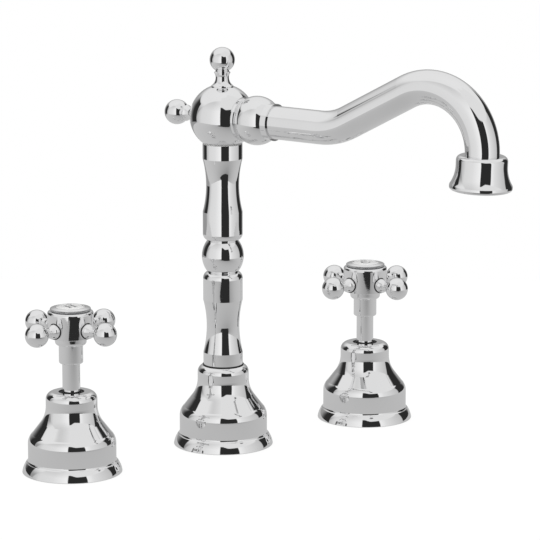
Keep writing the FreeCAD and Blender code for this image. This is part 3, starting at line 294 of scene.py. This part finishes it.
def studio_sky(tree):
    """The panels, the dark flags between them and the ceiling, as brightness by direction."""
    ray = tree.nodes.new("ShaderNodeTexCoord").outputs["Generated"]
    turn = turn_of(tree, ray)
    rise = dot(tree, ray, (0, 0, 1))
    tilt = rise.calc("ARCSINE") * math.degrees(1)

    ceiling = tilt.span(*CEILING_TILTS, *CEILING_LIGHTS)
    light = turn.calc("ABSOLUTE").span(*BACK_TURNS, *BACK_LIGHTS)
    light = light.blend(ceiling, tilt.span(*CEILING_START, kind="SMOOTHSTEP"))

    facing = dot(tree, ray, studio_direction(LEFT_PANEL_FACES) * LEFT_PANEL_RISE)
    under_left_panel = (facing - rise).step(0, LEFT_PANEL_TOP_SOFT)
    left_panel = turn.graded(LEFT_PANEL_TURNS, LEFT_PANEL_LIGHTS, LEFT_PANEL_SOFT)
    left_panel = left_panel * tilt.span(*LEFT_PANEL_TILTS, *LEFT_PANEL_FADE)
    left_side = turn.band(LEFT_PANEL_TURNS[0], LEFT_PANEL_TURNS[-1], EDGE_SOFT)
    light = light.blend(left_panel, left_side * under_left_panel)

    high = tilt.span(*RIGHT_PANEL_TILTS, kind="SMOOTHSTEP")
    right_panel = turn.graded(RIGHT_PANEL_TURNS, RIGHT_PANEL_LIGHTS, RIGHT_PANEL_SOFT)
    light = light.blend(right_panel.blend(ceiling, high), turn.band(*RIGHT_PANEL, EDGE_SOFT))

    overhead = turn.band(*OVERHEAD_TURNS, EDGE_SOFT) * tilt.band(*OVERHEAD_TILTS, EDGE_SOFT)
    light = light.blend(OVERHEAD_LIGHT, overhead)

    notch = turn.span(*FRONT_FLAG_NOTCH_TURNS, FRONT_FLAG_NOTCH, 0, kind="SMOOTHSTEP")
    under_front_flag = (tilt - notch).step(FRONT_FLAG_TOP, EDGE_SOFT).flipped()
    light = light.blend(FLAG_LIGHT, turn.band(*FRONT_FLAG, EDGE_SOFT) * under_front_flag)

    front, back = RIGHT_FLAG
    right_flag = turn.step(front, EDGE_SOFT) * turn.step(back, RIGHT_FLAG_BACK_SOFT).flipped()
    under_right_flag = tilt.step(RIGHT_FLAG_TOP, RIGHT_FLAG_TOP_SOFT).flipped()
    return light.blend(FLAG_LIGHT, right_flag * under_right_flag)


def make_world():
    """White to the camera, and the studio to everything that the tap's surfaces reflect."""
    world = bpy.data.worlds.new("studio")
    scene.world = world
    world.use_nodes = True
    tree = world.node_tree
    tree.nodes.clear()
    studio = tree.nodes.new("ShaderNodeBackground")
    tree.links.new(studio_sky(tree).socket, studio.inputs["Color"])
    white = tree.nodes.new("ShaderNodeBackground")
    white.inputs["Color"].default_value = (1, 1, 1, 1)
    path = tree.nodes.new("ShaderNodeLightPath")
    mix = tree.nodes.new("ShaderNodeMixShader")
    tree.links.new(path.outputs["Is Camera Ray"], mix.inputs[0])
    tree.links.new(studio.outputs[0], mix.inputs[1])
    tree.links.new(white.outputs[0], mix.inputs[2])
    out = tree.nodes.new("ShaderNodeOutputWorld")
    tree.links.new(mix.outputs[0], out.inputs["Surface"])


def grey(level):
    """A neutral colour."""
    return (level, level, level, 1)


def floor_light(tree):
    """The floor as the chrome shows it: painted shade, darker towards a painted dark patch in front, and
    the painted dark patch itself.
    """
    place = tree.nodes.new("ShaderNodeTexCoord").outputs["Object"]
    x = dot(tree, place, (1, 0, 0))
    y = dot(tree, place, (0, 1, 0))
    beside = ((x - PAINTED_SHADE_MIDDLE[0]).calc("ABSOLUTE") - PAINTED_SHADE_HALF).calc("MAXIMUM", 0)
    ahead = y - PAINTED_SHADE_MIDDLE[1]
    far = (beside * beside + ahead * ahead).calc("SQRT")
    fade = (far * (-1 / PAINTED_SHADE_REACH)).calc("EXPONENT")
    # painted shade: the floor as the chrome shows it darkens towards the patch in front
    light = (fade * -PAINTED_SHADE_DEPTH) + FLOOR_LIGHT
    # painted dark patch: black on the floor in front, seen only in the chrome, where no dark thing lies
    before_edge = (y - x * PAINTED_PATCH_SLANT).step(PAINTED_PATCH_EDGE, PAINTED_PATCH_SOFT).flipped()
    return light.blend(FLAG_LIGHT, x.band(*PAINTED_PATCH_SIDES, PAINTED_PATCH_SOFT) * before_edge)


def floor_material():
    """Pale to the camera with the tap's shadow on it, grey in the chrome, matt to the rest."""
    material = bpy.data.materials.new("floor")
    material.use_nodes = True
    tree = material.node_tree
    tree.nodes.clear()
    matt = tree.nodes.new("ShaderNodeBsdfDiffuse")
    matt.inputs["Color"].default_value = grey(FLOOR_MATT)
    pale = tree.nodes.new("ShaderNodeEmission")
    pale.inputs["Strength"].default_value = FLOOR_PALE
    shaded = tree.nodes.new("ShaderNodeBsdfDiffuse")
    shaded.inputs["Color"].default_value = grey(FLOOR_SHADED)
    seen = tree.nodes.new("ShaderNodeAddShader")
    tree.links.new(pale.outputs[0], seen.inputs[0])
    tree.links.new(shaded.outputs[0], seen.inputs[1])
    mirrored = tree.nodes.new("ShaderNodeEmission")
    tree.links.new(floor_light(tree).socket, mirrored.inputs["Color"])
    path = tree.nodes.new("ShaderNodeLightPath")
    shader = matt.outputs[0]
    looks = (("Is Glossy Ray", mirrored), ("Is Transmission Ray", mirrored), ("Is Camera Ray", seen))
    for ray, look in looks:
        mix = tree.nodes.new("ShaderNodeMixShader")
        tree.links.new(path.outputs[ray], mix.inputs[0])
        tree.links.new(shader, mix.inputs[1])
        tree.links.new(look.outputs[0], mix.inputs[2])
        shader = mix.outputs[0]
    out = tree.nodes.new("ShaderNodeOutputMaterial")
    tree.links.new(shader, out.inputs["Surface"])
    return material


def make_floor():
    """The top that the tap stands on, longer to the sides than towards the camera."""
    mesh = bpy.data.meshes.new("floor")
    bm = bmesh.new()
    bmesh.ops.create_circle(bm, cap_ends=True, segments=FLOOR_STEPS, radius=1)
    bmesh.ops.scale(bm, vec=(FLOOR_SIDE, FLOOR_FRONT, 1), verts=bm.verts)
    to_camera = Matrix.Rotation(-math.radians(CAMERA_ROUND), 3, "Z")
    bmesh.ops.rotate(bm, matrix=to_camera, verts=bm.verts)
    bm.to_mesh(mesh)
    bm.free()
    floor = bpy.data.objects.new("floor", mesh)
    scene.collection.objects.link(floor)
    floor.location.z = -FLOOR_DROP
    mesh.materials.append(floor_material())


def left_flag_material():
    """Black inside the flag's outline, and clear outside it."""
    material = bpy.data.materials.new("left_flag")
    material.use_nodes = True
    tree = material.node_tree
    tree.nodes.clear()
    place = tree.nodes.new("ShaderNodeTexCoord").outputs["Object"]
    turn = turn_of(tree, place)
    back, front = LEFT_FLAG
    card = turn.step(back, LEFT_FLAG_BACK_SOFT) * turn.step(front, EDGE_SOFT).flipped()
    card = card * dot(tree, place, (0, 0, 1)).step(LEFT_FLAG_TOP, LEFT_FLAG_TOP_SOFT).flipped()
    black = tree.nodes.new("ShaderNodeEmission")
    black.inputs["Color"].default_value = grey(FLAG_LIGHT)
    clear = tree.nodes.new("ShaderNodeBsdfTransparent")
    mix = tree.nodes.new("ShaderNodeMixShader")
    tree.links.new(card.socket, mix.inputs[0])
    tree.links.new(clear.outputs[0], mix.inputs[1])
    tree.links.new(black.outputs[0], mix.inputs[2])
    out = tree.nodes.new("ShaderNodeOutputMaterial")
    tree.links.new(mix.outputs[0], out.inputs["Surface"])
    return material


def make_left_flag():
    """Black card to the left and behind, near enough to stand lower when seen from the spout."""
    bm = bmesh.new()
    rows = []
    for turn in LEFT_CARD_TURNS:
        foot = studio_direction(turn) * LEFT_FLAG_AWAY
        top = foot + Vector((0, 0, LEFT_CARD_TOP))
        rows.append((bm.verts.new(foot), bm.verts.new(top)))
    for here, there in zip(rows, rows[1:]):
        bm.faces.new((here[0], there[0], there[1], here[1]))
    mesh = bpy.data.meshes.new("left_flag")
    bm.to_mesh(mesh)
    bm.free()
    flag = bpy.data.objects.new("left_flag", mesh)
    scene.collection.objects.link(flag)
    flag.visible_camera = False
    flag.visible_diffuse = False
    flag.visible_shadow = False
    mesh.materials.append(left_flag_material())


def make_lamp():
    """A large soft lamp overhead, for the surfaces that aren't mirrors."""
    data = bpy.data.lights.new("overhead", "AREA")
    data.size = LAMP_SIZE
    data.energy = LAMP_POWER
    lamp = bpy.data.objects.new("overhead", data)
    scene.collection.objects.link(lamp)
    lamp.location = (0, 0, LAMP_HEIGHT)
    lamp.visible_glossy = False


def make_camera():
    """The camera of the picture."""
    data = bpy.data.cameras.new("camera")
    data.lens = CAMERA_LENS
    data.sensor_width = SENSOR
    data.clip_end = CAMERA_SIGHT
    camera = bpy.data.objects.new("camera", data)
    scene.collection.objects.link(camera)
    up = math.radians(CAMERA_UP)
    level = studio_direction(0) * math.cos(up)
    camera.location = CAMERA_DISTANCE * (level + Vector((0, 0, math.sin(up))))
    camera.rotation_euler = (math.radians(90 - CAMERA_PITCH), 0, -math.radians(CAMERA_YAW))
    scene.camera = camera


def new_material(name):
    """A material with its shader, and the surface's own place in metres."""
    material = bpy.data.materials.new(name)
    material.use_nodes = True
    tree = material.node_tree
    place = tree.nodes.new("ShaderNodeTexCoord").outputs["Object"]
    return material, tree, tree.nodes["Principled BSDF"], place


def noise(tree, place, scale, detail):
    """Cloudy variation, with about this many clouds to the metre."""
    node = tree.nodes.new("ShaderNodeTexNoise")
    node.inputs["Scale"].default_value = scale
    node.inputs["Detail"].default_value = detail
    tree.links.new(place, node.inputs["Vector"])
    return Field(tree, node.outputs["Fac"])


def stretched(tree, place, factors):
    """The same place with each axis stretched, for lines and brushing."""
    node = tree.nodes.new("ShaderNodeVectorMath")
    node.operation = "MULTIPLY"
    tree.links.new(place, node.inputs[0])
    node.inputs[1].default_value = factors
    return node.outputs["Vector"]


def bump(tree, shader, height, depth):
    """Raises the surface by the field, from zero to a depth in metres."""
    node = tree.nodes.new("ShaderNodeBump")
    node.inputs["Distance"].default_value = depth
    tree.links.new(height.socket, node.inputs["Height"])
    tree.links.new(node.outputs["Normal"], shader.inputs["Normal"])


def tint(tree, shader, field, dark, pale):
    """Colours the surface between two colours."""
    node = tree.nodes.new("ShaderNodeMix")
    node.data_type = "RGBA"
    for k, colour in zip(MIX_COLOURS, (dark, pale)):
        node.inputs[k].default_value = (*colour, 1)
    tree.links.new(field.socket, node.inputs[MIX_FACTOR])
    tree.links.new(node.outputs[MIX_COLOUR_OUT], shader.inputs["Base Color"])


def rough(tree, shader, field, low, high):
    """Makes the surface smoother where the noise is low and rougher where it is high."""
    tree.links.new(field.span(*NOISE_RANGE, low, high).socket, shader.inputs["Roughness"])


def chrome():
    """Bright chromium plate over polished brass, with the faintest buffing marks."""
    material, tree, shader, place = new_material("chrome")
    shader.inputs["Metallic"].default_value = 1
    clouds = noise(tree, place, scale=60, detail=3)
    tint(tree, shader, clouds, dark=(0.87, 0.87, 0.875), pale=(0.91, 0.91, 0.912))
    buffing = noise(tree, place, scale=900, detail=4)
    rough(tree, shader, buffing, low=0.02, high=0.045)
    bump(tree, shader, buffing, depth=0.000002)
    return material


def knurled():
    """Rougher chrome for the fine knurling, its colour darkened all over with painted shade that stands in
    for the shade in the grooves.
    """
    material, tree, shader, place = new_material("knurled")
    shader.inputs["Metallic"].default_value = 1
    shade_and_grain = noise(tree, place, scale=2000, detail=3)
    # painted shade: these dark colours, far below the polished chrome's, stand in for the shade in the
    # knurl's grooves; the noise varies them at random
    tint(tree, shader, shade_and_grain, dark=(0.40, 0.40, 0.405), pale=(0.66, 0.66, 0.665))
    rough(tree, shader, shade_and_grain, low=0.18, high=0.34)
    bump(tree, shader, shade_and_grain, depth=0.000006)
    return material


def brass():
    """Turned brass, a little dulled, with the tool's rings round it."""
    material, tree, shader, place = new_material("brass")
    shader.inputs["Metallic"].default_value = 1
    dull = noise(tree, place, scale=120, detail=4)
    tint(tree, shader, dull, dark=(0.56, 0.40, 0.19), pale=(0.78, 0.60, 0.32))
    rings = noise(tree, stretched(tree, place, factors=(40, 40, 5000)), scale=1, detail=2)
    rough(tree, shader, rings, low=0.20, high=0.36)
    bump(tree, shader, rings, depth=0.00001)
    return material


def rubber():
    """Black moulded rubber with a fine matt skin."""
    material, tree, shader, place = new_material("rubber")
    skin = noise(tree, place, scale=3000, detail=3)
    clouds = noise(tree, place, scale=150, detail=3)
    tint(tree, shader, clouds, dark=(0.012, 0.012, 0.013), pale=(0.028, 0.028, 0.029))
    rough(tree, shader, skin, low=0.55, high=0.75)
    bump(tree, shader, skin, depth=0.00003)
    return material


def seal():
    """Grey closed-cell foam."""
    material, tree, shader, place = new_material("seal")
    node = tree.nodes.new("ShaderNodeTexVoronoi")
    node.inputs["Scale"].default_value = 2500
    tree.links.new(place, node.inputs["Vector"])
    cells = Field(tree, node.outputs["Distance"])
    tint(tree, shader, cells, dark=(0.05, 0.05, 0.052), pale=(0.12, 0.12, 0.122))
    shader.inputs["Roughness"].default_value = 0.85
    bump(tree, shader, cells, depth=0.0001)
    return material


def steel():
    """Zinc-bright pressed steel with a fine grain."""
    material, tree, shader, place = new_material("steel")
    shader.inputs["Metallic"].default_value = 1
    grain = noise(tree, stretched(tree, place, factors=(1, 6, 1)), scale=500, detail=4)
    tint(tree, shader, grain, dark=(0.52, 0.53, 0.54), pale=(0.68, 0.68, 0.69))
    rough(tree, shader, grain, low=0.24, high=0.38)
    bump(tree, shader, grain, depth=0.000008)
    return material


def ceramic():
    """Lapped alumina, off-white and almost polished."""
    material, tree, shader, place = new_material("ceramic")
    grain = noise(tree, place, scale=4000, detail=3)
    clouds = noise(tree, place, scale=200, detail=3)
    tint(tree, shader, clouds, dark=(0.78, 0.77, 0.73), pale=(0.86, 0.85, 0.82))
    rough(tree, shader, grain, low=0.14, high=0.26)
    bump(tree, shader, grain, depth=0.000003)
    return material


def porcelain():
    """White glazed porcelain."""
    material, tree, shader, place = new_material("porcelain")
    glaze = noise(tree, place, scale=250, detail=2)
    tint(tree, shader, glaze, dark=(0.90, 0.90, 0.89), pale=(0.94, 0.94, 0.935))
    rough(tree, shader, glaze, low=0.06, high=0.10)
    bump(tree, shader, glaze, depth=0.000002)
    shader.inputs["Coat Weight"].default_value = 0.5
    shader.inputs["Coat Roughness"].default_value = 0.04
    return material


def enamel():
    """Black enamel fired on the porcelain."""
    material, tree, shader, place = new_material("enamel")
    fired = noise(tree, place, scale=1500, detail=3)
    tint(tree, shader, fired, dark=(0.012, 0.012, 0.014), pale=(0.03, 0.03, 0.034))
    rough(tree, shader, fired, low=0.12, high=0.25)
    bump(tree, shader, fired, depth=0.000004)
    return material


def ptfe():
    """Waxy white bearing plastic."""
    material, tree, shader, place = new_material("ptfe")
    wax = noise(tree, place, scale=800, detail=3)
    tint(tree, shader, wax, dark=(0.78, 0.78, 0.77), pale=(0.86, 0.86, 0.85))
    rough(tree, shader, wax, low=0.35, high=0.5)
    bump(tree, shader, wax, depth=0.000008)
    shader.inputs["Subsurface Weight"].default_value = 0.1
    shader.inputs["Subsurface Radius"].default_value = (0.001, 0.001, 0.001)
    return material


def plastic():
    """Grey moulded acetal."""
    material, tree, shader, place = new_material("plastic")
    spark = noise(tree, place, scale=2500, detail=3)
    clouds = noise(tree, place, scale=150, detail=2)
    tint(tree, shader, clouds, dark=(0.30, 0.31, 0.32), pale=(0.38, 0.39, 0.40))
    rough(tree, shader, spark, low=0.35, high=0.5)
    bump(tree, shader, spark, depth=0.00001)
    return material


def dress_nodes():
    """Gives each solid the material of its slot in the record."""
    makers = (chrome, knurled, brass, rubber, seal, steel, ceramic, porcelain, enamel, ptfe, plastic)
    made = {maker.__name__: maker() for maker in makers}
    for row in frame["record"]["subparts"]:
        solid = nodes[row["node"]].data
        solid.materials.clear()
        solid.materials.append(made[row["material_slot"]])
    return made


def add_piece(name, bm, material, body):
    """Puts a built mesh in the scene, smooth but for its sharp edges, and ties it to its body."""
    mesh = bpy.data.meshes.new(name)
    bmesh.ops.recalc_face_normals(bm, faces=bm.faces)
    bm.to_mesh(mesh)
    bm.free()
    mesh.polygons.foreach_set("use_smooth", [True] * len(mesh.polygons))
    mesh.set_sharp_from_angle(angle=SHARP)
    mesh.materials.append(materials[material])
    piece = bpy.data.objects.new(name, mesh)
    scene.collection.objects.link(piece)
    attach(piece, body)


def radius_of(box):
    """The radius of an upright round solid, in millimetres, from its two corners."""
    low, high = box
    return (high.x - low.x) / 2 / MM


def foot_of(box):
    """The height of a solid's lowest point, in millimetres."""
    return box[0].z / MM


def top_of(box):
    """The height of a solid's highest point, in millimetres."""
    return box[1].z / MM


def join_rings(bm, rings):
    """Closes rings of points to a skin, the last ring joined to the first."""
    for here, there in zip(rings, rings[1:] + rings[:1]):
        for k in range(len(here)):
            after = (k + 1) % len(here)
            bm.faces.new((here[k], there[k], there[after], here[after]))


def lathe(outline, x, steps, wave=None):
    """Turns a closed outline, rows of radius, height and share of the wave, about an upright axis."""
    bm = bmesh.new()
    rings = []
    for step in range(steps):
        angle = 2 * math.pi * step / steps
        swell = wave(angle) if wave else 0
        ring = []
        for radius, height, share in outline:
            reach = (radius + swell * share) * MM
            ring.append(bm.verts.new((x + reach * math.cos(angle), reach * math.sin(angle), height * MM)))
        rings.append(ring)
    join_rings(bm, rings)
    return bm


def plain(points):
    """An outline that no wave changes."""
    return [(radius, height, 0) for radius, height in points]


def knurls(side, x):
    """Fine straight knurling round the edge of the index bezel."""
    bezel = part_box(f"{side}_index_bezel")
    edge = radius_of(bezel)
    foot = top_of(bezel) - KNURL_DROP
    top = foot + KNURL_HEIGHT
    outline = [(edge + out, foot + up, share) for out, up, share in KNURL_HALF]
    outline += [(edge + out, top - up, share) for out, up, share in reversed(KNURL_HALF)]

    def ridge(angle):
        return KNURL_DEPTH * abs(math.cos(angle * KNURL_COUNT / 2))

    bm = lathe(outline, x, KNURL_COUNT * KNURL_STEPS, ridge)
    # painted shade: the knurled material is darkened with painted shade for the grooves
    add_piece(f"{side}_knurling", bm, "knurled", f"{side}_handle")


def bezel_gap_shade_ring(side, x):
    """Grey ring of the plastic material in the gap between the index bezel and the hub: painted shade for
    that gap.
    """
    hub = top_of(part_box(f"{side}_hub"))
    edge = top_of(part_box(f"{side}_index_bezel")) - KNURL_DROP
    foot = hub + SHADE_RING_PLAY
    top = edge - SHADE_RING_PLAY
    outline = plain([
        (SHADE_RING_BORE, foot),
        (SHADE_RING_EDGE, foot),
        (SHADE_RING_BULGE, (hub + edge) / 2),
        (SHADE_RING_EDGE, top),
        (SHADE_RING_BORE, top),
    ])
    bm = lathe(outline, x, VALVE_RING_STEPS)
    # painted shade: this mid-grey ring stands in for the shade in the gap under the knurling
    add_piece(f"{side}_bezel_gap_shade_ring", bm, "plastic", f"{side}_handle")


def arm_root_shade_rings(side, x):
    """Thin dark rings of the rubber material where the arms screw into the hub: painted shade round the
    arms' roots.
    """
    hub_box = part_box(f"{side}_hub")
    hub = radius_of(hub_box)
    height = foot_of(hub_box) + ARM_RISE
    bm = bmesh.new()
    for arm in range(ARM_COUNT):
        turn = math.radians(REST_TURN[side] + 360 / ARM_COUNT * arm)
        out = Vector((math.cos(turn), math.sin(turn), 0))
        aside = Vector((-out.y, out.x, 0))
        rings = []
        for step in range(ARM_RING_STEPS):
            angle = 2 * math.pi * step / ARM_RING_STEPS
            spread = aside * math.cos(angle) + Vector((0, 0, math.sin(angle)))
            centre = spread * ARM_RING + Vector((x / MM, 0, height))
            centre += out * math.sqrt(hub ** 2 - (ARM_RING * math.cos(angle)) ** 2)
            ring = []
            for k in range(ARM_RING_SIDES):
                lean = 2 * math.pi * k / ARM_RING_SIDES
                skin = (spread * math.cos(lean) + out * math.sin(lean)) * ARM_RING_SECTION
                ring.append(bm.verts.new((centre + skin) * MM))
            rings.append(ring)
        join_rings(bm, rings)
    # painted shade: these black rings stand in for the shade where the arms meet the hub
    add_piece(f"{side}_arm_root_shade_rings", bm, "rubber", f"{side}_handle")


def dust_ring(side, x):
    """Rubber ring in the crown of a valve's bell, which keeps water out round the turning stem."""
    bonnet = top_of(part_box(f"{side}_bonnet"))
    crown = top_of(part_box(f"{side}_bell"))
    points = [(radius, bonnet + up) for radius, up in DUST_RING_FOOT]
    points += [(radius, crown + up) for radius, up in DUST_RING_TOP]
    bm = lathe(plain(points), x, VALVE_RING_STEPS)
    add_piece(f"{side}_dust_ring", bm, "rubber", "fixed")


def column_foot_shade_ring():
    """Black ring of the rubber material between the column's foot and its bell: painted shade where the
    column meets the bell.
    """
    foot = radius_of(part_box("column_lower"))
    crown = top_of(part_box("spout_bell"))
    points = [(foot + out, crown + up) for out, up in COLUMN_SHADE_RING]
    bm = lathe(plain(points), 0, COLUMN_RING_STEPS)
    # painted shade: this black ring stands in for the shade where the column meets its bell
    add_piece("column_foot_shade_ring", bm, "rubber", "fixed")


def bar(start, end, width):
    """A straight stroke, as places along it with its width."""
    shares = [k / BAR_STEPS for k in range(BAR_STEPS + 1)]
    return [(start[0] + (end[0] - start[0]) * t, start[1] + (end[1] - start[1]) * t, width) for t in shares]


def letter_h():
    """The strokes of a capital H with serifs."""
    strokes = [bar((-H_BAR, 0), (H_BAR, 0), H_BAR_WIDTH)]
    for x in (-H_STEM, H_STEM):
        strokes.append(bar((x, -H_TOP), (x, H_TOP), H_STEM_WIDTH))
        for y in (-H_TOP, H_TOP):
            strokes.append(bar((x - H_SERIF, y), (x + H_SERIF, y), SERIF_WIDTH))
    return strokes


def letter_c():
    """The strokes of a capital C with serifs."""
    bow = []
    for k in range(C_STEPS + 1):
        angle = math.radians(C_START + C_SWEEP * k / C_STEPS)
        width = C_WIDTH + C_SWELL * max(0, -math.cos(angle)) ** C_SWELL_POWER
        bow.append((C_MIDDLE + C_HALF_WIDTH * math.cos(angle), C_HALF_HEIGHT * math.sin(angle), width))
    x, high = C_SERIF_PLACE
    ends = [bar((x, y - C_SERIF), (x, y + C_SERIF), SERIF_WIDTH) for y in (-high, high)]
    return [bow, *ends]


def letter(side, x, strokes):
    """Raised enamel letter that follows the dome of the index disc."""
    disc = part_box(f"{side}_index_disc")
    edge = radius_of(disc)
    top = top_of(disc)
    curve = (edge ** 2 + DISC_DOME ** 2) / (2 * DISC_DOME)
    section = ((-1, LETTER_SINK), (-LETTER_FACE, LETTER_LIFT), (LETTER_FACE, LETTER_LIFT), (1, LETTER_SINK))

    def on_dome(px, py, lift):
        height = top - curve + math.sqrt(curve ** 2 - px ** 2 - py ** 2) + lift
        return (x + px * MM, py * MM, height * MM)

    bm = bmesh.new()
    for stroke in strokes:
        rows = []
        for k, (px, py, width) in enumerate(stroke):
            ahead = stroke[min(k + 1, len(stroke) - 1)]
            behind = stroke[max(k - 1, 0)]
            along = Vector((ahead[0] - behind[0], ahead[1] - behind[1])).normalized()
            across = Vector((-along.y, along.x)) * (width / 2)
            row = []
            for share, lift in section:
                row.append(bm.verts.new(on_dome(px + across.x * share, py + across.y * share, lift)))
            rows.append(row)
        for here, there in zip(rows, rows[1:]):
            for k in range(len(section) - 1):
                bm.faces.new((here[k], there[k], there[k + 1], here[k + 1]))
        bm.faces.new(rows[0])
        bm.faces.new(rows[-1][::-1])
    add_piece(f"{side}_letter", bm, "enamel", f"{side}_handle")


materials = dress_nodes()
for side, x, strokes in (("hot", -VALVE_OFFSET, letter_h()), ("cold", VALVE_OFFSET, letter_c())):
    knurls(side, x)
    bezel_gap_shade_ring(side, x)
    arm_root_shade_rings(side, x)
    dust_ring(side, x)
    letter(side, x, strokes)
column_foot_shade_ring()
make_world()
make_floor()
make_left_flag()
make_lamp()
make_camera()
